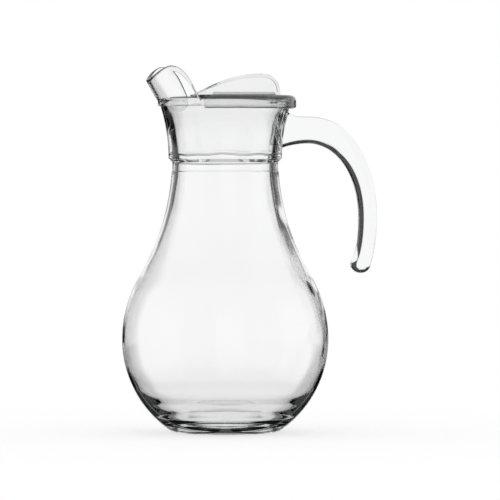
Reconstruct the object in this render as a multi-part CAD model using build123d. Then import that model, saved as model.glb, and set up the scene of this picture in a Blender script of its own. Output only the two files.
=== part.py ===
"""Round-bellied glass jug with a raised pouring spout, a hook handle and a push-on plastic lid.

Millimetres, +Z up. The origin is the centre of the foot, +X runs towards the handle and -X towards the spout.
"""

import os
from math import hypot, sqrt

from build123d import *

# Bulb: two arcs that share the bulge, closed below by the heel and the kicked-up foot
BULGE_RADIUS = 72.4
BULGE_HEIGHT = 65.6
LOWER_CURVE = 78.0
UPPER_CURVE = 86.0
HEEL_CURVE = 14.0
FOOT_RING_WIDTH = 5.5
KICK_UP = 2.6
BULB_WALL = 2.8
FLOOR_THICKNESS = 9.5
INNER_HEEL_CURVE = 20.0

# Neck: the shoulder curve stands upright at the waist, and a thicker collar flares up to the rim
WAIST_RADIUS = 37.2
WAIST_HEIGHT = 194.2
GROOVE_BOTTOM = 182.9
GROOVE_HEIGHT = 8.0
GROOVE_DEPTH = 0.5
COLLAR_STEP = 2.7
COLLAR_CHAMFER = 1.1
COLLAR_TOP_RADIUS = 45.4
RIM_HEIGHT = 233.0
BEAD_RADIUS = 47.2
BEAD_HEIGHT = 4.6
RIM_WALL = 3.5
RIM_ROUND = 1.4

# Spout: an oblique cone that leans out of the rim, trimmed by the outline seen from the side
SPOUT_ROOT_DEPTH = 3.2
SPOUT_ROOT_INSET = 0.8
SPOUT_TOP_HEIGHT = 25.2
SPOUT_TOP_RADIUS = 33.0
SPOUT_LEAN = 29.3
SPOUT_WALL = 3.0
SPOUT_BACK = 21.5
SPOUT_PEAK = (41.0, 23.4)
SPOUT_TIP = (55.8, 13.2)
SPOUT_EDGE_ROUND = 1.2

# Handle: one slab of pressed glass, fused to the collar and free at its lower end
HANDLE_BELOW_RIM = 11.6
HANDLE_ROOT_DEPTH = 23.0
HANDLE_ARCH_DEPTH = 19.0
HANDLE_ROOT_FLARE = 3.4
HANDLE_BEND = 58.0
HANDLE_REACH = 107.0
HANDLE_GRIP_DROP = 71.0
HANDLE_GRIP_DEPTH = 12.8
HANDLE_OUTER_ELBOW = (0.755, 0.42)
HANDLE_INNER_ELBOW = (0.57, 0.58)
HANDLE_END_DROP = 104.6
HANDLE_END_HOOK = 4.6
HANDLE_END_DEPTH = 13.8
HANDLE_END_EASE = 4.0
HANDLE_WIDTH = 16.0
HANDLE_EDGE_ROUND = 5.8

# Lid: a plate on the rim with an outer skirt, open round the spout, a keel that hangs in the mouth and a fin to lift it by
LID_SEAT_GAP = 0.2
LID_PLATE = 3.0
LID_TONGUE = 1.5
LID_SKIRT_CLEARANCE = 0.35
LID_SKIRT_WALL = 2.2
LID_SKIRT_DROP = 6.4
LID_TOP_ROUND = 4.0
LID_HEM_ROUND = 2.0
LID_SKIRT_END = 19.5
KEEL_CLEARANCE = 0.6
KEEL_LENGTH = 12.4
KEEL_DROP = 10.7
KEEL_BEAD = 1.9
FIN_FRONT = 21.5
FIN_BACK = 38.8
FIN_PEAK = 25.0
FIN_HEIGHT = 15.1
FIN_NOSE = 1.0
FIN_BACK_CURVE = (0.75, 0.55)
FIN_THICKNESS = 4.6
FIN_BEAD = 2.4
FIN_WEB = 2.4
FIN_EDGE_ROUND = 1.3
FIN_FOOT_FRONT = 10.0
FIN_FOOT_WIDTH = 7.0
FIN_FOOT_HEIGHT = 2.4
FIN_FOOT_SLOPE = 20.0


def arc_about(centre, start, end):
    """Arc under a half turn about a centre, between two points that lie at the same distance from it."""
    radius = hypot(start[0] - centre[0], start[1] - centre[1])
    middle = (start[0] + end[0] - 2 * centre[0], start[1] + end[1] - 2 * centre[1])
    reach = radius / hypot(*middle)
    return ThreePointArc(start, (centre[0] + middle[0] * reach, centre[1] + middle[1] * reach), end)


def floor_corner(centre, radius, floor, corner):
    """Round corner between a level floor and a circle above it: its foot and its end on the circle."""
    x = centre[0] + sqrt((radius - corner) ** 2 - (centre[1] - floor - corner) ** 2)
    z = floor + corner
    reach = radius / (radius - corner)
    return (x, floor), (centre[0] + (x - centre[0]) * reach, centre[1] + (z - centre[1]) * reach)


def shoulder_circle():
    """Centre and radius of the hollow shoulder arc, which touches the upper bulb arc and stands upright at the waist."""
    run = WAIST_RADIUS - (BULGE_RADIUS - UPPER_CURVE)
    rise = WAIST_HEIGHT - BULGE_HEIGHT
    radius = (run**2 + rise**2 - UPPER_CURVE**2) / (2 * (UPPER_CURVE - run))
    return (WAIST_RADIUS + radius, WAIST_HEIGHT), radius


def bulb_chain(wall, floor, corner, top):
    """Arcs of the bulb and shoulder, a wall's thickness inside the outer face, from the floor up to the height top."""
    low_centre = (BULGE_RADIUS - LOWER_CURVE, BULGE_HEIGHT)
    high_centre = (BULGE_RADIUS - UPPER_CURVE, BULGE_HEIGHT)
    hollow_centre, hollow_radius = shoulder_circle()
    foot, heel = floor_corner(low_centre, LOWER_CURVE - wall, floor, corner)
    bulge = (BULGE_RADIUS - wall, BULGE_HEIGHT)
    share = (UPPER_CURVE - wall) / (UPPER_CURVE + hollow_radius)
    turn = tuple(a + (b - a) * share for a, b in zip(high_centre, hollow_centre))
    reach = hollow_radius + wall
    end = (hollow_centre[0] - sqrt(reach**2 - (hollow_centre[1] - top) ** 2), top)
    arcs = [
        arc_about((foot[0], floor + corner), foot, heel),
        arc_about(low_centre, heel, bulge),
        arc_about(high_centre, bulge, turn),
        arc_about(hollow_centre, turn, end),
    ]
    return foot, end, arcs


def neck_chain():
    """Outer face of the neck from the shoulder's end through the groove and the collar to the rim's bead."""
    shoulder = bulb_chain(0, 0, HEEL_CURVE, GROOVE_BOTTOM)[1]
    groove = shoulder[0] - GROOVE_DEPTH
    groove_top = GROOVE_BOTTOM + GROOVE_HEIGHT
    collar = (groove + COLLAR_STEP, groove_top + COLLAR_CHAMFER)
    under_bead = (COLLAR_TOP_RADIUS, RIM_HEIGHT - BEAD_HEIGHT)
    bead = (BEAD_RADIUS, under_bead[1] + (BEAD_RADIUS - COLLAR_TOP_RADIUS) / 2)
    return [
        Polyline(shoulder, (groove, GROOVE_BOTTOM), (groove, groove_top), collar),
        TangentArc(collar, under_bead, tangent=(0, 1)),
        Polyline(under_bead, bead, (BEAD_RADIUS, RIM_HEIGHT)),
    ]


def jug_profile():
    """Section of the glass wall on one side of the axis."""
    foot, _, outer = bulb_chain(0, 0, HEEL_CURVE, GROOVE_BOTTOM)
    ring = (foot[0] - FOOT_RING_WIDTH, 0)
    inner_foot, waist, inner = bulb_chain(BULB_WALL, FLOOR_THICKNESS, INNER_HEEL_CURVE, WAIST_HEIGHT)
    mouth = (BEAD_RADIUS - RIM_WALL, RIM_HEIGHT)
    outline = [
        TangentArc((0, KICK_UP), ring, tangent=(1, 0)),
        Line(ring, foot),
        *outer,
        *neck_chain(),
        Line((BEAD_RADIUS, RIM_HEIGHT), mouth),
        TangentArc(waist, mouth, tangent=(0, 1)),
        *inner,
        Polyline(inner_foot, (0, FLOOR_THICKNESS), (0, KICK_UP)),
    ]
    face = make_face(outline)
    rim = [v for v in face.vertices() if v.Y > RIM_HEIGHT - RIM_ROUND]
    return fillet(rim, RIM_ROUND)


def mouth_radius(height):
    """Inner radius of the collar at a height between the waist and the rim."""
    waist = WAIST_RADIUS - BULB_WALL
    run = BEAD_RADIUS - RIM_WALL - waist
    rise = RIM_HEIGHT - WAIST_HEIGHT
    curve = (run**2 + rise**2) / (2 * run)
    return waist + curve - sqrt(curve**2 - (height - WAIST_HEIGHT) ** 2)


def cone_shell(wall):
    """Oblique cone from inside the rim bead to the spout's top, a wall's thickness inside its outer face."""
    root = Plane.XY.offset(RIM_HEIGHT - SPOUT_ROOT_DEPTH)
    top = Plane.XY.offset(RIM_HEIGHT + SPOUT_TOP_HEIGHT)
    root_circle = root * Circle(BEAD_RADIUS - SPOUT_ROOT_INSET - wall)
    top_circle = top * Pos(-SPOUT_LEAN, 0) * Circle(SPOUT_TOP_RADIUS - wall)
    return loft([root_circle, top_circle])


def spout_edge(root, peak, tip):
    """Edge of the spout seen from the side: it climbs steeply to its peak and falls away to the lip."""
    climb, fall = peak - root, tip - peak
    steep = (root.X + 0.2 * climb.X, root.Y + 0.18 * climb.Y)
    brow = (root.X + 0.44 * climb.X, peak.Y)
    crown = (peak.X + 0.34 * fall.X, peak.Y)
    lip = (peak.X + 0.71 * fall.X, peak.Y + 0.63 * fall.Y)
    return [Bezier(root, steep, brow, peak), Bezier(peak, crown, lip, tip)]


def spout():
    """Tongue of glass that rises from the front of the rim, highest on its flanks and lower at the lip."""
    root = Vector(-SPOUT_BACK, RIM_HEIGHT)
    peak = Vector(-SPOUT_PEAK[0], RIM_HEIGHT + SPOUT_PEAK[1])
    tip = Vector(-SPOUT_TIP[0], RIM_HEIGHT + SPOUT_TIP[1])
    edge = spout_edge(root, peak, tip)
    floor = RIM_HEIGHT - SPOUT_ROOT_DEPTH
    front = -SPOUT_LEAN - SPOUT_TOP_RADIUS
    ahead = tip + (edge[1] % 1) * ((front - tip.X) / (edge[1] % 1).X)
    frame = Polyline(tip, ahead, (front, floor), (root.X, floor), root)
    side = extrude(Plane.XZ * make_face([*edge, frame]), BEAD_RADIUS, both=True)
    tongue = (cone_shell(0) - cone_shell(SPOUT_WALL)) & side
    trimmed = [f for f in tongue.faces() if f.geom_type == GeomType.EXTRUSION]
    rims = [e for f in trimmed for e in f.edges() if (e @ 0.5).Z > RIM_HEIGHT + SPOUT_WALL]
    return fillet(rims, SPOUT_EDGE_ROUND)


def glass_jug():
    """The blown vessel: bulb, neck, collar, rim and spout in one piece of glass."""
    vessel = revolve(Plane.XZ * jug_profile(), Axis.Z)
    return vessel + spout()


def neck_core():
    """The neck filled solid, which the handle is fitted against."""
    outline = neck_chain()
    start = outline[0] @ 0
    axis = Polyline((BEAD_RADIUS, RIM_HEIGHT), (0, RIM_HEIGHT), (0, start.Y), (start.X, start.Y))
    return revolve(Plane.XZ * make_face([*outline, axis]), Axis.Z)


def elbow(level, upright, pull):
    """Bend from a level run to an upright one, pulled towards its corner by a share of each run."""
    across = level[0] + (upright[0] - level[0]) * pull[0]
    up = upright[1] + (level[1] - upright[1]) * pull[1]
    return Bezier(level, (across, level[1]), (upright[0], up), upright)


def handle():
    """Hook handle: a deep arch off the collar that thins into an upright grip with a free, hooked end."""
    top = RIM_HEIGHT - HANDLE_BELOW_RIM
    grip_back = (HANDLE_REACH, top - HANDLE_GRIP_DROP)
    grip_face = (HANDLE_REACH - HANDLE_GRIP_DEPTH, top - HANDLE_GRIP_DROP)
    end_back = (HANDLE_REACH - HANDLE_END_HOOK, top - HANDLE_END_DROP)
    end_face = (end_back[0] - HANDLE_END_DEPTH, top - HANDLE_END_DROP)
    bend = (HANDLE_BEND, top)
    arch = (HANDLE_BEND, top - HANDLE_ARCH_DEPTH)
    flare = (COLLAR_TOP_RADIUS + 2 * HANDLE_ROOT_FLARE, top)
    root_top = (COLLAR_TOP_RADIUS - 0.5 * HANDLE_ROOT_FLARE, top + HANDLE_ROOT_FLARE)
    root_bottom = (WAIST_RADIUS, top - HANDLE_ROOT_DEPTH)
    back = TangentArc(grip_back, end_back, tangent=(0, -1))
    cap = TangentArc(end_back, end_face, tangent=back % 1)
    hook = end_face + (cap % 1) * HANDLE_END_EASE
    throat = (grip_face[0], hook.Y + 0.1 * HANDLE_END_EASE)
    outline = [
        Polyline((WAIST_RADIUS, root_top[1]), root_top),
        TangentArc(flare, root_top, tangent=(-1, 0)),
        Line(flare, bend),
        elbow(bend, grip_back, HANDLE_OUTER_ELBOW),
        back,
        cap,
        Bezier(end_face, (hook.X, hook.Y), throat, grip_face),
        elbow(arch, grip_face, HANDLE_INNER_ELBOW),
        TangentArc(arch, root_bottom, tangent=(-1, 0)),
        Line(root_bottom, (WAIST_RADIUS, root_top[1])),
    ]
    slab = extrude(Plane.XZ * make_face(outline), HANDLE_WIDTH / 2, both=True)
    rims = [e for f in slab.faces().filter_by(Axis.Y) for e in f.edges()]
    rims = [e for e in rims if (e @ 0.5).X > WAIST_RADIUS + HANDLE_EDGE_ROUND]
    return fillet(rims, HANDLE_EDGE_ROUND) - neck_core()


def fin_outline(base, inset):
    """Side view of the fin, long and low towards the spout, drawn in from its edge by an inset."""
    top = base + FIN_HEIGHT - inset
    floor = base + inset
    nose = (-FIN_FRONT + 3 * inset, floor)
    brow = (nose[0], floor + FIN_NOSE)
    peak = (FIN_PEAK, top)
    heel = (FIN_BACK - inset, floor)
    run = FIN_PEAK - nose[0]
    slope = (nose[0] + 0.35 * run, brow[1] + 0.66 * (top - brow[1]))
    crest = (nose[0] + 0.67 * run, top)
    return make_face(
        [
            Line(nose, brow),
            Bezier(brow, slope, crest, peak),
            elbow(peak, heel, FIN_BACK_CURVE),
            Line(heel, nose),
        ]
    )


def beaded(outline, recess):
    """Upright slab with a rounded border left standing round a recess on each side."""
    slab = extrude(Plane.XZ * outline, FIN_THICKNESS / 2, both=True)
    rims = [e for f in slab.faces().filter_by(Axis.Y) for e in f.edges() if e.geom_type != GeomType.LINE]
    slab = fillet(rims, FIN_EDGE_ROUND)
    hollow = extrude(Plane.XZ * recess, FIN_THICKNESS / 2, both=True)
    for side in (-1, 1):
        slab -= Pos(0, side * (FIN_WEB + FIN_THICKNESS) / 2, 0) * hollow
    return slab


def fin(base):
    """Grip of the lid: an upright web inside a rounded border, on a low sloping foot."""
    grip = beaded(fin_outline(base, 0), fin_outline(base, FIN_BEAD))
    back = FIN_BACK - FIN_BEAD
    middle = Pos((back - FIN_FOOT_FRONT) / 2, 0, base)
    foot = middle * SlotOverall(back + FIN_FOOT_FRONT, FIN_FOOT_WIDTH)
    return grip + extrude(foot, FIN_FOOT_HEIGHT, taper=FIN_FOOT_SLOPE)


def keel_outline(front, seat, inset):
    """Side view of the keel, round at its lower end, drawn in from its edge by an inset."""
    half = KEEL_LENGTH / 2 - inset
    middle = front + KEEL_LENGTH / 2
    turn = seat - KEEL_DROP + KEEL_LENGTH / 2
    left, right = (middle - half, turn), (middle + half, turn)
    return make_face(
        [
            ThreePointArc(left, (middle, turn - half), right),
            Polyline(right, (right[0], seat - inset), (left[0], seat - inset), left),
        ]
    )


def lid():
    """One plastic moulding: plate, part-round skirt, keel behind the spout and fin."""
    seat = RIM_HEIGHT + LID_SEAT_GAP
    top = seat + LID_PLATE
    hem = seat - LID_SKIRT_DROP
    inner = BEAD_RADIUS + LID_SKIRT_CLEARANCE
    outer = inner + LID_SKIRT_WALL
    front = mouth_radius(seat - KEEL_DROP) - KEEL_CLEARANCE
    section = make_face(
        Polyline((0, seat), (inner, seat), (inner, hem), (outer, hem), (outer, top), (0, top), close=True)
    )
    section = fillet(section.vertices().sort_by(Axis.X)[-2:].sort_by(Axis.Y)[-1:], LID_TOP_ROUND)
    section = fillet(section.vertices().sort_by(Axis.X)[-2:].sort_by(Axis.Y)[:1], LID_HEM_ROUND)
    cap = revolve(Plane.XZ * section, Axis.Z)
    ahead = Pos(-LID_SKIRT_END - outer, 0, seat) * Box(2 * outer, 4 * outer, 4 * LID_SKIRT_DROP)
    cap -= ahead - Pos(0, 0, seat) * Cylinder(front, 4 * LID_SKIRT_DROP)
    cap -= Pos(-FIN_FRONT - outer, 0, seat + LID_TONGUE + outer) * Box(2 * outer, 4 * outer, 2 * outer)
    keel = beaded(keel_outline(-front, seat, 0), keel_outline(-front, seat, KEEL_BEAD))
    return cap + keel + fin(top)


if __name__ == "__main__":
    os.makedirs("parts", exist_ok=True)
    for name, piece in (("glass_jug", glass_jug()), ("handle", handle()), ("lid", lid())):
        export_step(piece, f"parts/{name}.step")
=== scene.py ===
from math import atan2, cos, hypot, pi, radians, sin, sqrt

import bpy
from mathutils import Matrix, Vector, noise


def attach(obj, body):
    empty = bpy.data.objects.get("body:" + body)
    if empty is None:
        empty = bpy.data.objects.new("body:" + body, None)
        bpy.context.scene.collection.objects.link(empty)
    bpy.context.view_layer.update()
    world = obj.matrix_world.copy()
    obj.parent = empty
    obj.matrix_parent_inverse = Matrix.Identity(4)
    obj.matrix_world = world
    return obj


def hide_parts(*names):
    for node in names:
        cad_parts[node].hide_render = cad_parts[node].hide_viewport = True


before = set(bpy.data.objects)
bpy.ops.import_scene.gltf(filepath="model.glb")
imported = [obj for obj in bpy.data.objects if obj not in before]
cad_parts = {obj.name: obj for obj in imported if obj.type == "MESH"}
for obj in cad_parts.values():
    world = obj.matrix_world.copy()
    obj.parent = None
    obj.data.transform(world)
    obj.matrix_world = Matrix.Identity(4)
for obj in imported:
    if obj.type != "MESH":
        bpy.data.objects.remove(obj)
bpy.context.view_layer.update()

MM = 0.001

# Sizes of the glass in millimetres, the same as the solids
BULGE_RADIUS, BULGE_HEIGHT = 72.4, 65.6
LOWER_CURVE, UPPER_CURVE = 78.0, 86.0
HEEL_CURVE, INNER_HEEL_CURVE = 14.0, 20.0
FOOT_RING_WIDTH, KICK_UP = 5.5, 2.6
BULB_WALL, FLOOR_THICKNESS = 2.8, 9.5
WAIST_RADIUS, WAIST_HEIGHT = 37.2, 194.2
GROOVE_BOTTOM, GROOVE_HEIGHT, GROOVE_DEPTH = 182.9, 8.0, 0.5
COLLAR_STEP, COLLAR_CHAMFER, COLLAR_TOP_RADIUS = 2.7, 1.1, 45.4
RIM_HEIGHT, BEAD_RADIUS, BEAD_HEIGHT, RIM_WALL = 233.0, 47.2, 4.6, 3.5
SPOUT_ROOT_DEPTH, SPOUT_ROOT_INSET, SPOUT_TOP_HEIGHT = 3.2, 0.8, 25.2
SPOUT_TOP_RADIUS, SPOUT_LEAN, SPOUT_WALL = 33.0, 29.3, 3.0
SPOUT_BACK, SPOUT_PEAK, SPOUT_TIP = 21.5, (41.0, 23.4), (55.8, 13.2)
HANDLE_TOP, HANDLE_WIDTH = 221.4, 16.0
HANDLE_REACH, HANDLE_GRIP_HEIGHT, HANDLE_GRIP_DEPTH = 107.0, 150.4, 12.8
HANDLE_BEND, HANDLE_ARCH_DEPTH, HANDLE_ROOT_DEPTH, HANDLE_ROOT_FLARE = 58.0, 19.0, 23.0, 3.4
HANDLE_END_HEIGHT, HANDLE_END_HOOK, HANDLE_END_DEPTH, HANDLE_END_EASE = 116.8, 4.6, 13.8, 4.0
HANDLE_EDGE_ROUND = 5.8

# The fin's thickness and the height above which it stands clear of its foot, in millimetres
FIN_THICKNESS, FIN_FOOT_TOP = 4.6, 239.2

# Pulls of the curves in the spout's edge and the handle's elbows, as shares of the way across and up
SPOUT_CLIMB = ((0.2, 0.18), (0.44, 1.0))
SPOUT_FALL = ((0.34, 0.0), (0.71, 0.63))
HANDLE_OUTER_ELBOW, HANDLE_INNER_ELBOW = (0.755, 0.42), (0.57, 0.58)

# How many flares long the handle's root is, how many deep, and how far the curve of its hook is pulled
HANDLE_FLARE_RUN, HANDLE_FLARE_SINK, HANDLE_HOOK_PULL = 2, 0.5, 0.1

# Small rounds in millimetres that only this mesh has
GROOVE_EASE, GROOVE_FLOOR_LIFT = (0.1, 0.25), 0.8
CORNER_ROUND, CORNER_LIFT = 1.0, 0.4
BEAD_ROUND, BEAD_ROUND_LIFT, BEAD_ROUND_START = 1.6, 1.4, (0.4, -0.1)
FIN_LIP_ROUND = 0.95

# How much lower the groove ends at the neck than it does in the solid
UNDERCUT = 1.6

# Height at which the bead's side and the spout start
BEAD_FOOT = RIM_HEIGHT - BEAD_HEIGHT + BEAD_ROUND_LIFT

# How thick the blown wall is at a height, both in millimetres
WALL = (
    (0, 6.5), (12, 6.0), (20, 4.4), (30, 2.6), (45, 1.7), (66, 1.5), (94, 1.7),
    (115, 2.5), (135, 3.1), (150, 3.5), (165, 4.2), (180, 4.5), (194, 4.6), (300, 4.6),
)

# Inner wall of the pressed collar as radius and height, from a ledge at the waist up to the mouth
THROAT = (
    (32.6, 194.2), (32.75, 195.0), (33.2, 195.6), (33.4, 198.0), (34.4, 206.0),
    (35.7, 212.5), (38.2, 219.5), (40.7, 225.0), (43.0, 230.0),
)

# Waves that blowing leaves in the inner wall: how high in millimetres, away from the handle and beside it
WAVE_LOW, WAVE_HIGH, WAVE_LENGTH = 0.08, 0.58, 30.0
# Heights between which they run, how they fade there, and how much slower they change upwards than round
WAVE_BOTTOM, WAVE_TOP, WAVE_FADE, WAVE_UPWARD = 24, 215, 30, 0.8
# The ripples on them, as a share of their height and so many times finer
RIPPLE_SHARE, RIPPLE_FINENESS = 0.5, 2.3
# Where the handle's side starts and over what span it takes effect, as shares of the radius
HANDLE_SIDE_START, HANDLE_SIDE_SPAN = -0.1, 0.8
# How far the ledge at the waist sways up and down, over what length, and how far from it this reaches
LEDGE_SWAY, LEDGE_LENGTH, LEDGE_REACH = 1.2, 13.0, 5.0

# What counts as inner wall: this far out, as a share of the waist, and facing the axis at least this much
INNER_LEAST_RADIUS, INNER_FACING = 0.6, -0.2

# Height and rise in millimetres over which the rim turns into the spout
SPOUT_BLEND_HEIGHT, SPOUT_BLEND_RISE = 5.0, 4.0

# Shares of the inner floor's radius at which it has a ring of points
FLOOR_RINGS = (0.66, 0.33)

# The largest share of half the handle's thickness that the round of its edges may take
ROUND_LIMIT = 0.97

# How many steps a turn, a line or a round is cut into
TURN_STEPS = 256
FOOT_STEPS, FOOT_RING_STEPS, HEEL_STEPS, BULB_STEPS, SHOULDER_STEPS = 10, 3, 10, 18, 22
GROOVE_STEPS, CORNER_STEPS, DOME_STEPS, THROAT_STEPS, COLLAR_STEPS = 6, 5, 6, 6, 26
SPOUT_STEPS, HANDLE_STEPS, ELBOW_STEPS, CAP_STEPS, EDGE_STEPS = 40, 16, 36, 32, 8
LIP_STEPS = 5

# Distances in metres under which points are one, or lie on a face
MERGE_DISTANCE, NEAR_DISTANCE = 2e-6, 2e-5

# Least angle in radians between two points of the spout's edge
TINY_ANGLE = 1e-9

# Angles in degrees up to which shading runs smoothly over an edge
GLASS_SMOOTH_ANGLE, LID_SMOOTH_ANGLE = 50, 30

# How far large faces lead the lid's shading, where 50 is neutral
EVEN_WEIGHT = 100

# How squarely a face of the fin looks sideways: its flat sides more than this, its border less
FLAT_FACING, BORDER_FACING = 0.99, 0.1


def pick(obj):
    bpy.ops.object.select_all(action="DESELECT")
    bpy.context.view_layer.objects.active = obj
    obj.select_set(True)


def edit(obj):
    pick(obj)
    bpy.ops.object.mode_set(mode="EDIT")


def done():
    bpy.ops.object.mode_set(mode="OBJECT")


def close_up():
    """Merges the points that lie together, turns every face outwards and leaves edit mode."""
    bpy.ops.mesh.select_all(action="SELECT")
    bpy.ops.mesh.remove_doubles(threshold=MERGE_DISTANCE)
    bpy.ops.mesh.normals_make_consistent(inside=False)
    done()


def draw_line(name, points):
    """A chain of vertices pulled out one after another from a single point, left in edit mode."""
    bpy.ops.object.select_all(action="DESELECT")
    bpy.ops.mesh.primitive_plane_add(size=MM)
    obj = bpy.context.active_object
    obj.name = name
    bpy.ops.object.mode_set(mode="EDIT")
    bpy.ops.mesh.select_all(action="SELECT")
    bpy.ops.mesh.merge(type="CENTER")
    bpy.ops.transform.translate(value=points[0])
    for a, b in zip(points, points[1:]):
        bpy.ops.mesh.extrude_region_move(TRANSFORM_OT_translate={"value": b - a})
    return obj


def sweep(centre, radius, start, turn, steps):
    """Points round a centre, from the angle start through a turn, without the first one."""
    angles = [start + turn * i / steps for i in range(1, steps + 1)]
    return [(centre[0] + radius * cos(a), centre[1] + radius * sin(a)) for a in angles]


def arc(centre, start, end, steps):
    """Points along the shorter arc about a centre, without its first point."""
    a = atan2(start[1] - centre[1], start[0] - centre[0])
    b = atan2(end[1] - centre[1], end[0] - centre[0])
    radius = hypot(start[0] - centre[0], start[1] - centre[1])
    return sweep(centre, radius, a, (b - a + pi) % (2 * pi) - pi, steps)


def tangent_arc(start, direction, end, steps):
    """Points along the arc that leaves start in a direction and meets end, and its last direction."""
    n = (-direction[1], direction[0])
    dx, dy = end[0] - start[0], end[1] - start[1]
    k = (dx * dx + dy * dy) / (2 * (dx * n[0] + dy * n[1]))
    centre = (start[0] + n[0] * k, start[1] + n[1] * k)
    a = atan2(start[1] - centre[1], start[0] - centre[0])
    b = atan2(end[1] - centre[1], end[0] - centre[0])
    turn = (b - a) % (2 * pi) if k > 0 else -((a - b) % (2 * pi))
    c, s = cos(turn), sin(turn)
    last = (direction[0] * c - direction[1] * s, direction[0] * s + direction[1] * c)
    return sweep(centre, abs(k), a, turn, steps), last


def upright_arc(start, end, steps):
    """Arc that leaves its start straight up."""
    across, rise = end[0] - start[0], end[1] - start[1]
    radius = (across**2 + rise**2) / (2 * across)
    return arc((start[0] + radius, start[1]), start, end, steps)


def between(start, end, shares):
    """Point at given shares of the way across and the way up from start to end."""
    return tuple(a + (b - a) * s for a, b, s in zip(start, end, shares))


def run(start, end, steps):
    """Points along a straight line, without its first one."""
    return [between(start, end, (i / steps, i / steps)) for i in range(1, steps + 1)]


def bezier(a, b, c, d, steps):
    """Points along a cubic curve, without its first one."""
    line = []
    for i in range(1, steps + 1):
        t = i / steps
        s = 1 - t
        weights = (s**3, 3 * s * s * t, 3 * s * t * t, t**3)
        line.append(tuple(sum(w * p[k] for w, p in zip(weights, (a, b, c, d))) for k in (0, 1)))
    return line


def elbow_points(level, upright, pull, steps):
    """Bend that leaves its start level and comes to its end upright."""
    first = between(level, upright, (pull[0], 0.0))
    second = between(upright, level, (0.0, pull[1]))
    return bezier(level, first, second, upright, steps)


def through(points, steps):
    """A smooth line through the points, without its first one."""
    ends = [points[0]] + list(points) + [points[-1]]
    line = []
    for a, b, c, d in zip(ends, ends[1:], ends[2:], ends[3:]):
        for i in range(1, steps + 1):
            t = i / steps
            line.append(tuple(
                0.5 * (2 * b[k] + (c[k] - a[k]) * t + (2 * a[k] - 5 * b[k] + 4 * c[k] - d[k]) * t**2
                       + (3 * b[k] - a[k] - 3 * c[k] + d[k]) * t**3)
                for k in (0, 1)
            ))
    return line


def spread(points, count):
    """So many even steps along a line, both its ends among the points."""
    along = [0.0]
    for p, q in zip(points, points[1:]):
        along.append(along[-1] + hypot(q[0] - p[0], q[1] - p[1]))
    line, i = [], 0
    for n in range(count + 1):
        want = along[-1] * n / count
        while i < len(points) - 2 and along[i + 1] < want:
            i += 1
        t = (want - along[i]) / (along[i + 1] - along[i])
        line.append(between(points[i], points[i + 1], (t, t)))
    return line


def ease(x):
    x = min(max(x, 0.0), 1.0)
    return x * x * (3 - 2 * x)


def wall_at(height):
    for (h0, w0), (h1, w1) in zip(WALL, WALL[1:]):
        if height <= h1:
            return w0 + (w1 - w0) * ease((height - h0) / (h1 - h0))
    return WALL[-1][1]


def belly(wall, floor, corner, top):
    """Section of the belly and shoulder from the floor to the height top."""
    low = (BULGE_RADIUS - LOWER_CURVE, BULGE_HEIGHT)
    high = (BULGE_RADIUS - UPPER_CURVE, BULGE_HEIGHT)
    span, rise = WAIST_RADIUS - high[0], WAIST_HEIGHT - BULGE_HEIGHT
    hollow = (span**2 + rise**2 - UPPER_CURVE**2) / (2 * (UPPER_CURVE - span))
    bay = (WAIST_RADIUS + hollow, WAIST_HEIGHT)
    low_radius = LOWER_CURVE - wall
    x = low[0] + sqrt((low_radius - corner) ** 2 - (low[1] - floor - corner) ** 2)
    reach = low_radius / (low_radius - corner)
    heel = (low[0] + (x - low[0]) * reach, low[1] + (floor + corner - low[1]) * reach)
    bulge = (BULGE_RADIUS - wall, BULGE_HEIGHT)
    share = (UPPER_CURVE - wall) / (UPPER_CURVE + hollow)
    turn = between(high, bay, (share, share))
    end = (bay[0] - sqrt((hollow + wall) ** 2 - (bay[1] - top) ** 2), top)
    return (
        [(x, floor)]
        + arc((x, floor + corner), (x, floor), heel, HEEL_STEPS)
        + arc(low, heel, bulge, BULB_STEPS)
        + arc(high, bulge, turn, BULB_STEPS)
        + arc(bay, turn, end, SHOULDER_STEPS)
    )


def even_out(points):
    """Moves an inner section that lies one plain wall inside the outer one to the blown wall's thickness."""
    moved = []
    for i, (r, z) in enumerate(points):
        before, after = points[max(i - 1, 0)], points[min(i + 1, len(points) - 1)]
        dr, dz = after[0] - before[0], after[1] - before[1]
        size = hypot(dr, dz)
        out, down = dz / size, -dr / size
        gain = (BULB_WALL - wall_at(z)) * ease(out)
        moved.append((r + out * gain, z + down * gain))
    return moved


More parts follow.
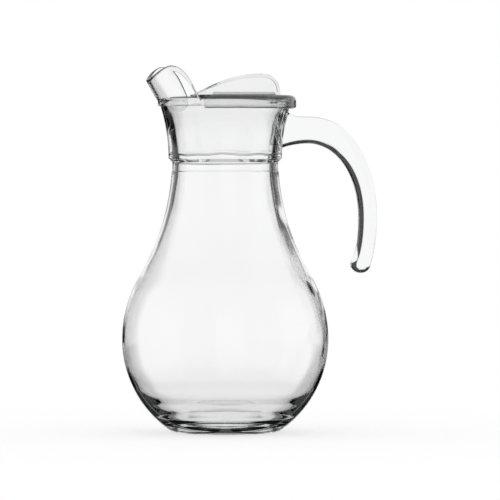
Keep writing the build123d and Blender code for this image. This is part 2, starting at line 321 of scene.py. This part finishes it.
def glass_section():
    """Wall of the jug from under the foot, up the outside, over the rim and down to the inner floor."""
    outer = belly(0, 0, HEEL_CURVE, GROOVE_BOTTOM)
    inner = even_out(belly(BULB_WALL, FLOOR_THICKNESS, INNER_HEEL_CURVE, WAIST_HEIGHT))
    foot = outer[0][0] - FOOT_RING_WIDTH
    kick = (foot**2 + KICK_UP**2) / (2 * KICK_UP)
    section = [(0, KICK_UP)] + arc((0, KICK_UP - kick), (0, KICK_UP), (foot, 0), FOOT_STEPS)
    section += run((foot, 0), outer[0], FOOT_RING_STEPS)[:-1] + outer

    groove = outer[-1][0] - GROOVE_DEPTH
    groove_top = GROOVE_BOTTOM + GROOVE_HEIGHT - UNDERCUT
    groove_start = (groove, GROOVE_BOTTOM + GROOVE_FLOOR_LIFT)
    groove_end = (groove, groove_top + CORNER_LIFT - CORNER_ROUND)
    section += [(groove + GROOVE_EASE[0], GROOVE_BOTTOM + GROOVE_EASE[1]), groove_start]
    section += run(groove_start, groove_end, GROOVE_STEPS)
    corner = (groove + CORNER_ROUND, groove_end[1])
    section += arc(corner, groove_end, (corner[0], groove_top + CORNER_LIFT), CORNER_STEPS)[:-1]

    collar = (groove + COLLAR_STEP, groove_top + COLLAR_CHAMFER + UNDERCUT + CORNER_LIFT)
    corner = (collar[0] - CORNER_ROUND, collar[1])
    section += arc(corner, (corner[0], corner[1] - CORNER_ROUND), collar, CORNER_STEPS)
    under = (COLLAR_TOP_RADIUS, RIM_HEIGHT - BEAD_HEIGHT)
    section += upright_arc(collar, under, COLLAR_STEPS)

    corner = (BEAD_RADIUS - BEAD_ROUND, BEAD_FOOT)
    start = (corner[0] + BEAD_ROUND_START[0], under[1] + BEAD_ROUND_START[1])
    section += arc(corner, start, (BEAD_RADIUS, BEAD_FOOT), CORNER_STEPS)
    half = RIM_WALL / 2
    dome = RIM_HEIGHT - half
    section += run((BEAD_RADIUS, BEAD_FOOT), (BEAD_RADIUS, dome), COLLAR_STEPS)
    crown = (BEAD_RADIUS - half, RIM_HEIGHT)
    mouth = (BEAD_RADIUS - RIM_WALL, dome)
    section += arc((crown[0], dome), (BEAD_RADIUS, dome), crown, DOME_STEPS)
    section += arc((crown[0], dome), crown, mouth, DOME_STEPS)

    throat = [p for p in through(THROAT, THROAT_STEPS) if p[1] < BEAD_FOOT]
    section += run(mouth, throat[-1], COLLAR_STEPS)[:-1] + throat[::-1]
    section += inner[::-1]
    section += [(inner[0][0] * share, FLOOR_THICKNESS) for share in FLOOR_RINGS]
    section += [(0, FLOOR_THICKNESS)]
    return [Vector((r * MM, 0, z * MM)) for r, z in section]


def make_jug():
    obj = draw_line("glass", glass_section())
    bpy.ops.mesh.select_all(action="SELECT")
    bpy.ops.mesh.spin(steps=TURN_STEPS, angle=2 * pi, center=(0, 0, 0), axis=(0, 0, 1))
    close_up()
    return obj


def let_wander(obj):
    """Gives the inner wall the slight waves of blown glass, higher on the handle's side."""
    normals = [v.normal.copy() for v in obj.data.vertices]
    for v, normal in zip(obj.data.vertices, normals):
        x, y, z = v.co / MM
        r = hypot(x, y)
        if r < WAIST_RADIUS * INNER_LEAST_RADIUS or normal.x * x + normal.y * y > INNER_FACING * r:
            continue
        here = ease((z - WAVE_BOTTOM) / WAVE_FADE) * ease((WAVE_TOP - z) / WAVE_FADE)
        side = ease((x / r - HANDLE_SIDE_START) / HANDLE_SIDE_SPAN)
        size = (WAVE_LOW + (WAVE_HIGH - WAVE_LOW) * side) * here
        place = Vector((x, y, z * WAVE_UPWARD)) / WAVE_LENGTH
        ripple = RIPPLE_SHARE * noise.noise(place * RIPPLE_FINENESS)
        v.co += normal * size * MM * (noise.noise(place) + ripple)
        ledge = ease(1 - abs(z - THROAT[1][1]) / LEDGE_REACH)
        v.co.z += LEDGE_SWAY * MM * ledge * noise.noise(Vector((x, y, 0)) / LEDGE_LENGTH)
    obj.data.update()


def cone_at(rise):
    """Radius of the spout's leaning cone at a height above the rim, and how far its centre has moved out."""
    share = (rise + SPOUT_ROOT_DEPTH) / (SPOUT_ROOT_DEPTH + SPOUT_TOP_HEIGHT)
    root = BEAD_RADIUS - SPOUT_ROOT_INSET
    return root + (SPOUT_TOP_RADIUS - root) * share, SPOUT_LEAN * share


def cone_radius(angle, height, depth):
    """Distance from the jug's axis to the spout's cone, or to so far inside it."""
    radius, lean = cone_at(height - RIM_HEIGHT)
    return lean * cos(angle) + sqrt(max((radius - depth) ** 2 - (lean * sin(angle)) ** 2, 0))


def spout_edge():
    """The spout's edge from its lip round to its root, as angles from the lip and heights above the rim."""
    root = (SPOUT_BACK, 0.0)
    edge = [root]
    for start, end, pulls in ((root, SPOUT_PEAK, SPOUT_CLIMB), (SPOUT_PEAK, SPOUT_TIP, SPOUT_FALL)):
        first, second = (between(start, end, pull) for pull in pulls)
        edge += bezier(start, first, second, end, SPOUT_STEPS)
    knots = []
    for ahead, rise in edge:
        radius, lean = cone_at(rise)
        side = sqrt(max((radius - SPOUT_WALL / 2) ** 2 - (ahead - lean) ** 2, 0.0))
        knots.append((atan2(side, ahead), rise))
    return sorted(knots)


def rise_at(knots, angle):
    """Height of the spout's edge above the rim at an angle from the lip, and none past its root."""
    if angle <= knots[0][0]:
        return knots[0][1]
    for (a0, h0), (a1, h1) in zip(knots, knots[1:]):
        if angle <= a1:
            return h0 + (h1 - h0) * (angle - a0) / max(a1 - a0, TINY_ANGLE)
    return 0.0


def pull_spout(obj):
    """Draws the front of the rim up and out into the spout."""
    knots = spout_edge()
    half = RIM_WALL / 2
    dome = RIM_HEIGHT - half
    middle = BEAD_RADIUS - half
    for v in obj.data.vertices:
        r, z = hypot(v.co.x, v.co.y) / MM, v.co.z / MM
        if z <= BEAD_FOOT or r < WAIST_RADIUS:
            continue
        angle = abs(atan2(v.co.y, -v.co.x))
        rise = rise_at(knots, angle)
        if rise <= 0:
            continue
        climb = min((z - BEAD_FOOT) / (dome - BEAD_FOOT), 1.0)
        height = BEAD_FOOT + climb * (dome - BEAD_FOOT + rise) + max(z - dome, 0.0)
        if z > dome:
            side = (r - middle) / half
            target = cone_radius(angle, height, SPOUT_WALL / 2) + side * SPOUT_WALL / 2
        else:
            target = cone_radius(angle, height, 0 if r > middle else SPOUT_WALL)
        share = ease((height - BEAD_FOOT) / SPOUT_BLEND_HEIGHT) * ease(rise / SPOUT_BLEND_RISE)
        scale = (r + (target - r) * share) / r
        v.co.x *= scale
        v.co.y *= scale
        v.co.z = height * MM
    obj.data.update()


def handle_sides():
    """The handle's back and face as two lines of facing points, and then the two halves of its round end."""
    grip_back = (HANDLE_REACH, HANDLE_GRIP_HEIGHT)
    grip_face = (HANDLE_REACH - HANDLE_GRIP_DEPTH, HANDLE_GRIP_HEIGHT)
    end_back = (HANDLE_REACH - HANDLE_END_HOOK, HANDLE_END_HEIGHT)
    end_face = (end_back[0] - HANDLE_END_DEPTH, HANDLE_END_HEIGHT)
    bend = (HANDLE_BEND, HANDLE_TOP)
    arch = (HANDLE_BEND, HANDLE_TOP - HANDLE_ARCH_DEPTH)
    flare = (COLLAR_TOP_RADIUS + HANDLE_FLARE_RUN * HANDLE_ROOT_FLARE, HANDLE_TOP)
    sunk = COLLAR_TOP_RADIUS - HANDLE_FLARE_SINK * HANDLE_ROOT_FLARE
    root_top = (sunk, HANDLE_TOP + HANDLE_ROOT_FLARE)
    root_bottom = (WAIST_RADIUS, HANDLE_TOP - HANDLE_ROOT_DEPTH)
    top, _ = tangent_arc(flare, (-1, 0), root_top, HANDLE_STEPS)
    low, _ = tangent_arc(arch, (-1, 0), root_bottom, HANDLE_STEPS)
    back = spread(top[::-1] + [flare, bend], HANDLE_STEPS)
    face = spread(low[::-1] + [arch], HANDLE_STEPS)
    back += elbow_points(bend, grip_back, HANDLE_OUTER_ELBOW, ELBOW_STEPS)
    face += elbow_points(arch, grip_face, HANDLE_INNER_ELBOW, ELBOW_STEPS)
    tail, way = tangent_arc(grip_back, (0, -1), end_back, HANDLE_STEPS)
    cap, way = tangent_arc(end_back, way, end_face, CAP_STEPS)
    hook = (end_face[0] + way[0] * HANDLE_END_EASE, end_face[1] + way[1] * HANDLE_END_EASE)
    throat = (grip_face[0], hook[1] + HANDLE_HOOK_PULL * HANDLE_END_EASE)
    inner_tail = bezier(grip_face, throat, hook, end_face, HANDLE_STEPS)
    back += spread([grip_back] + tail, HANDLE_STEPS)[1:]
    face += spread([grip_face] + inner_tail, HANDLE_STEPS)[1:]
    tip = CAP_STEPS // 2
    return back, face, cap[:tip - 1], cap[tip:-1][::-1]


def handle_ring(back, face, half_width):
    """Rounded section of the handle between a point of its back and the facing one."""
    depth = hypot(back[0] - face[0], back[1] - face[1])
    out = ((back[0] - face[0]) / depth, (back[1] - face[1]) / depth)
    bow = min(HANDLE_EDGE_ROUND, ROUND_LIMIT * depth / 2, ROUND_LIMIT * half_width)
    ring = []
    for quarter, (u, w) in enumerate(((1, 1), (-1, 1), (-1, -1), (1, -1))):
        for i in range(EDGE_STEPS + 1):
            turn = (quarter + i / EDGE_STEPS) * pi / 2
            along = u * (depth / 2 - bow) + bow * cos(turn)
            across = w * (half_width - bow) + bow * sin(turn)
            x = (back[0] + face[0]) / 2 + out[0] * along
            z = (back[1] + face[1]) / 2 + out[1] * along
            ring.append((x * MM, across * MM, z * MM))
    return ring


def make_handle():
    back, face, cap_back, cap_face = handle_sides()
    half = HANDLE_WIDTH / 2
    rings = [handle_ring(b, f, half) for b, f in zip(back, face)]
    for i, (b, f) in enumerate(zip(cap_back, cap_face)):
        turn = (i + 1) / len(cap_back) * pi / 2
        rings.append(handle_ring(b, f, half - HANDLE_EDGE_ROUND * (1 - cos(turn))))
    count = len(rings[0])
    verts = [v for ring in rings for v in ring]
    faces = [tuple(range(count)), tuple(range(len(verts) - count, len(verts)))]
    for i in range(len(rings) - 1):
        for j in range(count):
            k = (j + 1) % count
            faces.append((i * count + j, i * count + k, (i + 1) * count + k, (i + 1) * count + j))
    mesh = bpy.data.meshes.new("handle_glass")
    mesh.from_pydata(verts, [], faces)
    obj = bpy.data.objects.new("handle_glass", mesh)
    bpy.context.scene.collection.objects.link(obj)
    edit(obj)
    close_up()
    return obj


def weld(obj, other):
    """Joins two pieces of glass into one skin."""
    union = obj.modifiers.new("weld", "BOOLEAN")
    union.operation = "UNION"
    union.solver = "EXACT"
    union.object = other
    bpy.context.view_layer.objects.active = obj
    bpy.ops.object.modifier_apply(modifier=union.name)
    bpy.data.objects.remove(other)


def smooth(obj, degrees):
    pick(obj)
    bpy.ops.object.shade_smooth_by_angle(angle=radians(degrees))


def soft_lid():
    """The lid with the inner edge of its fin's border rounded over, as it comes out of a mould."""
    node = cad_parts["lid"]
    obj = bpy.data.objects.new("moulded_lid", node.data.copy())
    bpy.context.scene.collection.objects.link(obj)
    edit(obj)
    bpy.ops.mesh.select_all(action="SELECT")
    bpy.ops.mesh.remove_doubles(threshold=MERGE_DISTANCE)
    bpy.ops.mesh.select_all(action="DESELECT")
    bpy.ops.mesh.select_mode(type="EDGE")
    done()
    mesh = obj.data
    facings = {}
    for face in mesh.polygons:
        for key in face.edge_keys:
            facings.setdefault(key, []).append(abs(face.normal.y))
    side = FIN_THICKNESS / 2 * MM
    for e in mesh.edges:
        ends = [mesh.vertices[i].co for i in e.vertices]
        on_side = all(abs(abs(v.y) - side) < NEAR_DISTANCE and v.z > FIN_FOOT_TOP * MM for v in ends)
        both = facings.get(e.key, ())
        e.select = on_side and len(both) == 2 and max(both) > FLAT_FACING and min(both) < BORDER_FACING
    edit(obj)
    bpy.ops.mesh.bevel(
        offset=FIN_LIP_ROUND * MM,
        segments=LIP_STEPS,
        affect="EDGES",
        clamp_overlap=False,
        loop_slide=False,
    )
    bpy.ops.mesh.select_all(action="SELECT")
    bpy.ops.mesh.quads_convert_to_tris()
    bpy.ops.mesh.dissolve_degenerate(threshold=NEAR_DISTANCE)
    done()
    bpy.ops.mesh.customdata_custom_splitnormals_clear()
    smooth(obj, LID_SMOOTH_ANGLE)
    even = obj.modifiers.new("even", "WEIGHTED_NORMAL")
    even.weight = EVEN_WEIGHT
    even.keep_sharp = True
    bpy.ops.object.modifier_apply(modifier=even.name)
    return obj


# Marks on the surfaces: how broken up they are, and between which values of the noise a patch fades in
PATCH_DETAIL, PATCH_WARP, PATCH_FADE = 3.0, 0.6, (0.48, 0.78)
GRAIN_DETAIL = 2.0

# How light bends in both materials, and what they take from it, as a colour and a strength per metre
GLASS_BEND, GLASS_TINT, GLASS_DENSITY = 1.5, (0.5, 0.53, 0.53, 1), 8.0
PLASTIC_BEND, PLASTIC_TINT, PLASTIC_DENSITY = 1.49, (0.5, 0.5, 0.5, 1), 60.0
PLASTIC_CLEAR, PLASTIC_CLOUDED = (0.94, 0.94, 0.945, 1), (0.9, 0.905, 0.91, 1)
WHITE = (1, 1, 1, 1)

# Places of the two colours and of the result in a node that mixes colours
MIX_FIRST, MIX_SECOND, MIX_RESULT = 6, 7, 2


def surface_marks():
    """Soft patches left by hands and cloths, and a fine unevenness, both in the piece's own space."""
    group = bpy.data.node_groups.new("surface_marks", "ShaderNodeTree")
    face = group.interface
    face.new_socket(name="Vector", in_out="INPUT", socket_type="NodeSocketVector")
    for name in ("Patch Scale", "Grain Scale"):
        face.new_socket(name=name, in_out="INPUT", socket_type="NodeSocketFloat")
    for name in ("Patches", "Grain"):
        face.new_socket(name=name, in_out="OUTPUT", socket_type="NodeSocketFloat")
    start = group.nodes.new("NodeGroupInput")
    end = group.nodes.new("NodeGroupOutput")
    patches = group.nodes.new("ShaderNodeTexNoise")
    patches.inputs["Detail"].default_value = PATCH_DETAIL
    patches.inputs["Distortion"].default_value = PATCH_WARP
    fade = group.nodes.new("ShaderNodeMapRange")
    fade.interpolation_type = "SMOOTHSTEP"
    fade.inputs["From Min"].default_value = PATCH_FADE[0]
    fade.inputs["From Max"].default_value = PATCH_FADE[1]
    grain = group.nodes.new("ShaderNodeTexNoise")
    grain.inputs["Detail"].default_value = GRAIN_DETAIL
    for texture, scale in ((patches, "Patch Scale"), (grain, "Grain Scale")):
        group.links.new(start.outputs["Vector"], texture.inputs["Vector"])
        group.links.new(start.outputs[scale], texture.inputs["Scale"])
    group.links.new(patches.outputs["Fac"], fade.inputs["Value"])
    group.links.new(fade.outputs[0], end.inputs["Patches"])
    group.links.new(grain.outputs["Fac"], end.inputs["Grain"])
    return group


MARKS = surface_marks()


def marked(nt, patch_scale, grain_scale, least_rough, most_rough, relief):
    """Places the marks in a material, on its roughness and its relief in millimetres."""
    shader = nt.nodes["Principled BSDF"]
    coord = nt.nodes.new("ShaderNodeTexCoord")
    marks = nt.nodes.new("ShaderNodeGroup")
    marks.node_tree = MARKS
    marks.inputs["Patch Scale"].default_value = patch_scale
    marks.inputs["Grain Scale"].default_value = grain_scale
    nt.links.new(coord.outputs["Object"], marks.inputs["Vector"])
    rough = nt.nodes.new("ShaderNodeMapRange")
    rough.inputs["To Min"].default_value = least_rough
    rough.inputs["To Max"].default_value = most_rough
    nt.links.new(marks.outputs["Patches"], rough.inputs["Value"])
    nt.links.new(rough.outputs[0], shader.inputs["Roughness"])
    bump = nt.nodes.new("ShaderNodeBump")
    bump.inputs["Strength"].default_value = 1.0
    bump.inputs["Distance"].default_value = relief * MM
    nt.links.new(marks.outputs["Grain"], bump.inputs["Height"])
    nt.links.new(bump.outputs[0], shader.inputs["Normal"])
    return marks


def see_through(name, bend, tint, density):
    """A material that light goes through, and that takes more of it the thicker the piece is."""
    mat = bpy.data.materials.new(name)
    mat.use_nodes = True
    nt = mat.node_tree
    shader = nt.nodes["Principled BSDF"]
    shader.inputs["IOR"].default_value = bend
    shader.inputs["Transmission Weight"].default_value = 1.0
    absorb = nt.nodes.new("ShaderNodeVolumeAbsorption")
    absorb.inputs["Color"].default_value = tint
    absorb.inputs["Density"].default_value = density
    nt.links.new(absorb.outputs[0], nt.nodes["Material Output"].inputs["Volume"])
    return mat


def clear_glass():
    """Clear soda glass, a little grey in thick places, with faint hand marks and a fire-polished ripple."""
    mat = see_through("clear_glass", GLASS_BEND, GLASS_TINT, GLASS_DENSITY)
    nt = mat.node_tree
    nt.nodes["Principled BSDF"].inputs["Base Color"].default_value = WHITE
    marked(nt, patch_scale=28.0, grain_scale=70.0, least_rough=0.0, most_rough=0.008, relief=0.012)
    return mat


def smoke_plastic():
    """Pale smoke-grey moulded plastic, clouded a little, with the fine grain of its mould."""
    mat = see_through("smoke_plastic", PLASTIC_BEND, PLASTIC_TINT, PLASTIC_DENSITY)
    nt = mat.node_tree
    marks = marked(nt, patch_scale=60.0, grain_scale=1400.0, least_rough=0.05, most_rough=0.1, relief=0.006)
    cloud = nt.nodes.new("ShaderNodeMix")
    cloud.data_type = "RGBA"
    cloud.inputs[MIX_FIRST].default_value = PLASTIC_CLEAR
    cloud.inputs[MIX_SECOND].default_value = PLASTIC_CLOUDED
    nt.links.new(marks.outputs["Patches"], cloud.inputs[0])
    nt.links.new(cloud.outputs[MIX_RESULT], nt.nodes["Principled BSDF"].inputs["Base Color"])
    return mat


# The floor's radius in metres, its sides, and how much of it glows instead of taking shadows
FLOOR_RADIUS, FLOOR_SIDES, FLOOR_GLOW = 0.35, 96, 0.7


def pale_floor():
    """White floor that takes a faint shadow, and that glass does not show."""
    bpy.ops.object.select_all(action="DESELECT")
    bpy.ops.mesh.primitive_circle_add(
        vertices=FLOOR_SIDES, radius=FLOOR_RADIUS, fill_type="NGON", location=(0, 0, 0)
    )
    floor = bpy.context.active_object
    floor.name = "floor"
    mat = bpy.data.materials.new("pale_floor")
    mat.use_nodes = True
    nt = mat.node_tree
    nt.nodes.clear()
    out = nt.nodes.new("ShaderNodeOutputMaterial")
    matte = nt.nodes.new("ShaderNodeBsdfDiffuse")
    matte.inputs["Color"].default_value = WHITE
    glow = nt.nodes.new("ShaderNodeEmission")
    glow.inputs["Color"].default_value = WHITE
    mix = nt.nodes.new("ShaderNodeMixShader")
    mix.inputs[0].default_value = FLOOR_GLOW
    nt.links.new(matte.outputs[0], mix.inputs[1])
    nt.links.new(glow.outputs[0], mix.inputs[2])
    nt.links.new(mix.outputs[0], out.inputs["Surface"])
    floor.data.materials.append(mat)
    floor.visible_transmission = False
    floor.visible_glossy = False


# Dark flags that only light from the glass and the lid meets, as angles about the upright axis
# They are picked by how often light was thrown back or went through, which no real studio can do
# They are in degrees, with 0 on the handle's side and 90 behind the jug
# Each is where its edge starts, where it is full, where it stops being full and where it ends
# The first three are for light that goes straight through: a hollow, a solid piece, and either on a slant
HOLLOW_FLAGS = ((50, 54, 61, 66), (116, 122, 127, 130))
SOLID_FLAGS = ((30, 34, 66, 69), (141, 145, 162, 167))
SLANT_FLAGS = ((20, 26, 70, 75), (95, 101, 150, 160))
# These are for light thrown back in the glass: at the collar and shoulder, elsewhere, and in front
EDGE_FLAGS = ((20, 27, 58, 63), (102, 108, 138, 146))
NEAR_FLAGS = ((20, 27, 67, 73), (92, 98, 138, 146))
FRONT_FLAGS = ((-153, -146, -110, -104), (-76, -70, -35, -27))
# These are for light that glances off the outside, at the rim and below it
GLANCE_FLAGS = ((50, 56, 69, 74), (92, 97, 110, 116))
COLLAR_GLANCE_FLAGS = ((13, 20, 50, 56), (110, 116, 146, 153))

# Heights between which a flag or a white fades, as the sine of a ray's angle above level
LEVEL_FROM, LEVEL_TO = (-0.17, -0.13), (0.6, 0.45)
SLANT_FROM, STEEP_FROM = (0.2, 0.3), (0.28, 0.4)
OVERHEAD_FROM, CEILING_FROM = (0.28, 0.38), (0.3, 0.9)
BELOW_FROM, BELOW_TO = (-0.72, -0.75), (-0.855, -0.83)
HOLLOW_FROM, WALL_FROM = (-0.11, -0.06), (-0.85, -0.6)
COLLAR_FROM, COLLAR_TO, SHOULDER_FROM = (-0.16, -0.12), (-0.04, -0.07), (0.02, 0.05)
GLANCE_TO, COLLAR_GLANCE_TO = (0.1, 0.02), (-0.04, -0.1)
BACKDROP_FADE, BACKDROP_WHITES = (-0.4, 0.1), (0.82, 1.0)
ROOM_FADE, ROOM_WHITES = (-0.5, -0.05), (0.85, 0.95)

# How light the flags and the darker whites are, and how much of the front flags is used
FLAG_GREY, DEEP_WHITE, TRAPPED_WHITE, FRONT_SHARE = 0.01, 0.85, 0.12, 0.6

# Counts of how often light was thrown back or went through a surface, between which it is sorted
ONCE_TURNED, TRAPPED_TURNS = 0.5, 5.5
NOT_INSIDE, SOLID_SURFACES, DEEP_SURFACES = 0.5, 2.5, 3.5

# Places of the two numbers in a node that mixes numbers
NUMBER_FIRST, NUMBER_SECOND = 2, 3

# How often light is followed at most, high enough for the thick base
MOST_BOUNCES, GLOSSY_BOUNCES, TRANSMISSION_BOUNCES = 32, 24, 32


def studio():
    """White all round, with dark flags beside the white behind the jug, which give clear glass its edges."""
    world = bpy.data.worlds.new("studio")
    bpy.context.scene.world = world
    world.use_nodes = True
    nt = world.node_tree

    def feed(socket, value):
        if isinstance(value, (int, float)):
            socket.default_value = value
        else:
            nt.links.new(value, socket)

    def calc(operation, a, b):
        n = nt.nodes.new("ShaderNodeMath")
        n.operation = operation
        feed(n.inputs[0], a)
        feed(n.inputs[1], b)
        return n.outputs[0]

    def both(a, b):
        return calc("MULTIPLY", a, b)

    def either(a, b):
        return calc("MAXIMUM", a, b)

    def step(value, span, levels=(0.0, 1.0)):
        n = nt.nodes.new("ShaderNodeMapRange")
        n.interpolation_type = "SMOOTHSTEP"
        for name, v in zip(("From Min", "From Max", "To Min", "To Max"), (*span, *levels)):
            n.inputs[name].default_value = v
        nt.links.new(value, n.inputs["Value"])
        return n.outputs[0]

    def blend(share, a, b):
        n = nt.nodes.new("ShaderNodeMix")
        n.data_type = "FLOAT"
        feed(n.inputs[NUMBER_FIRST], a)
        feed(n.inputs[NUMBER_SECOND], b)
        nt.links.new(share, n.inputs[0])
        return n.outputs[0]

    coord = nt.nodes.new("ShaderNodeTexCoord")
    split = nt.nodes.new("ShaderNodeSeparateXYZ")
    nt.links.new(coord.outputs["Generated"], split.inputs[0])
    height = split.outputs["Z"]
    turn = calc("ARCTAN2", split.outputs["Y"], split.outputs["X"])
    round_share = calc("ADD", both(turn, 0.5 / pi), 0.5)

    def row_of(spans):
        flags = nt.nodes.new("ShaderNodeValToRGB")
        ramp = flags.color_ramp
        stops = []
        for span in spans:
            stops += list(zip(span, (0, 1, 1, 0)))
        while len(ramp.elements) < len(stops):
            ramp.elements.new(0.5)
        for element, (degrees, dark) in zip(ramp.elements, stops):
            element.position = degrees / 360 + 0.5
            element.color = (dark, dark, dark, 1)
        nt.links.new(round_share, flags.inputs[0])
        return flags.outputs[0]

    path = nt.nodes.new("ShaderNodeLightPath")
    turns, surfaces = path.outputs["Glossy Depth"], path.outputs["Transmission Depth"]
    turned = calc("GREATER_THAN", turns, ONCE_TURNED)
    trapped = calc("GREATER_THAN", turns, TRAPPED_TURNS)
    deep = both(turned, calc("GREATER_THAN", surfaces, DEEP_SURFACES))
    solid = calc("LESS_THAN", surfaces, SOLID_SURFACES)
    glance = calc("LESS_THAN", surfaces, NOT_INSIDE)
    ceiling = step(height, CEILING_FROM)

    # Light that went straight through
    level = both(step(height, LEVEL_FROM), step(height, LEVEL_TO))
    slant = both(row_of(SLANT_FLAGS), step(height, SLANT_FROM))
    below = both(step(height, BELOW_FROM), step(height, BELOW_TO))
    above_or_below = either(step(height, OVERHEAD_FROM), below)
    solid_flags = either(either(both(row_of(SOLID_FLAGS), level), slant), above_or_below)
    steep = both(row_of(SLANT_FLAGS), step(height, STEEP_FROM))
    hollow_flags = either(both(row_of(HOLLOW_FLAGS), step(height, HOLLOW_FROM)), ceiling)
    hollow_flags = either(hollow_flags, steep)
    backdrop = step(height, BACKDROP_FADE, BACKDROP_WHITES)
    straight = blend(blend(solid, hollow_flags, solid_flags), blend(solid, backdrop, 1.0), FLAG_GREY)

    # Light that was thrown back at least once
    collar_band = both(step(height, COLLAR_FROM), step(height, COLLAR_TO))
    edge_band = either(collar_band, step(height, SHOULDER_FROM))
    wall_flags = blend(edge_band, row_of(NEAR_FLAGS), row_of(EDGE_FLAGS))
    wall_flags = either(wall_flags, blend(deep, both(row_of(FRONT_FLAGS), FRONT_SHARE), 0.0))
    inside = either(both(wall_flags, step(height, WALL_FROM)), ceiling)
    at_rim = both(row_of(GLANCE_FLAGS), step(height, GLANCE_TO))
    below_rim = both(row_of(COLLAR_GLANCE_FLAGS), step(height, COLLAR_GLANCE_TO))
    turned_flags = blend(glance, inside, either(at_rim, below_rim))
    room = both(step(height, ROOM_FADE, ROOM_WHITES), blend(deep, 1.0, DEEP_WHITE))
    room = both(room, blend(trapped, 1.0, TRAPPED_WHITE))
    thrown_back = blend(turned_flags, room, FLAG_GREY)

    reflected = both(path.outputs["Is Glossy Ray"], path.outputs["Is Reflection Ray"])
    glass = either(path.outputs["Is Transmission Ray"], reflected)
    light = blend(glass, 1.0, blend(turned, straight, thrown_back))
    nt.links.new(light, nt.nodes["Background"].inputs["Color"])
    bpy.context.scene.view_settings.view_transform = "Standard"
    cycles = bpy.context.scene.cycles
    cycles.max_bounces = MOST_BOUNCES
    cycles.glossy_bounces = GLOSSY_BOUNCES
    cycles.transmission_bounces = TRANSMISSION_BOUNCES


# Where the camera stands, in metres and degrees, and the point it looks at, aside from the axis and up
CAMERA_DISTANCE, CAMERA_AZIMUTH, CAMERA_ELEVATION = 3.35, -7, 1.11
AIM_ASIDE, AIM_HEIGHT = 0.0173, 0.1279
VIEW_WIDTH, SENSOR_WIDTH = 0.350, 36


def camera():
    data = bpy.data.cameras.new("camera")
    cam = bpy.data.objects.new("camera", data)
    bpy.context.scene.collection.objects.link(cam)
    bpy.context.scene.camera = cam
    azimuth, elevation = radians(CAMERA_AZIMUTH), radians(CAMERA_ELEVATION)
    right = Vector((cos(azimuth), sin(azimuth), 0))
    aim = right * AIM_ASIDE + Vector((0, 0, AIM_HEIGHT))
    back = Vector((sin(azimuth) * cos(elevation), -cos(azimuth) * cos(elevation), sin(elevation)))
    cam.location = aim + back * CAMERA_DISTANCE
    cam.rotation_mode = "QUATERNION"
    cam.rotation_quaternion = (-back).to_track_quat("-Z", "Y")
    data.sensor_width = SENSOR_WIDTH
    data.lens = SENSOR_WIDTH * CAMERA_DISTANCE / VIEW_WIDTH


jug = make_jug()
let_wander(jug)
pull_spout(jug)
weld(jug, make_handle())
smooth(jug, GLASS_SMOOTH_ANGLE)
jug.data.materials.clear()
jug.data.materials.append(clear_glass())
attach(jug, "jug")
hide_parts("glass_jug", "handle")

lid = soft_lid()
lid.data.materials.clear()
lid.data.materials.append(smoke_plastic())
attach(lid, "lid")
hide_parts("lid")

pale_floor()
studio()
camera()
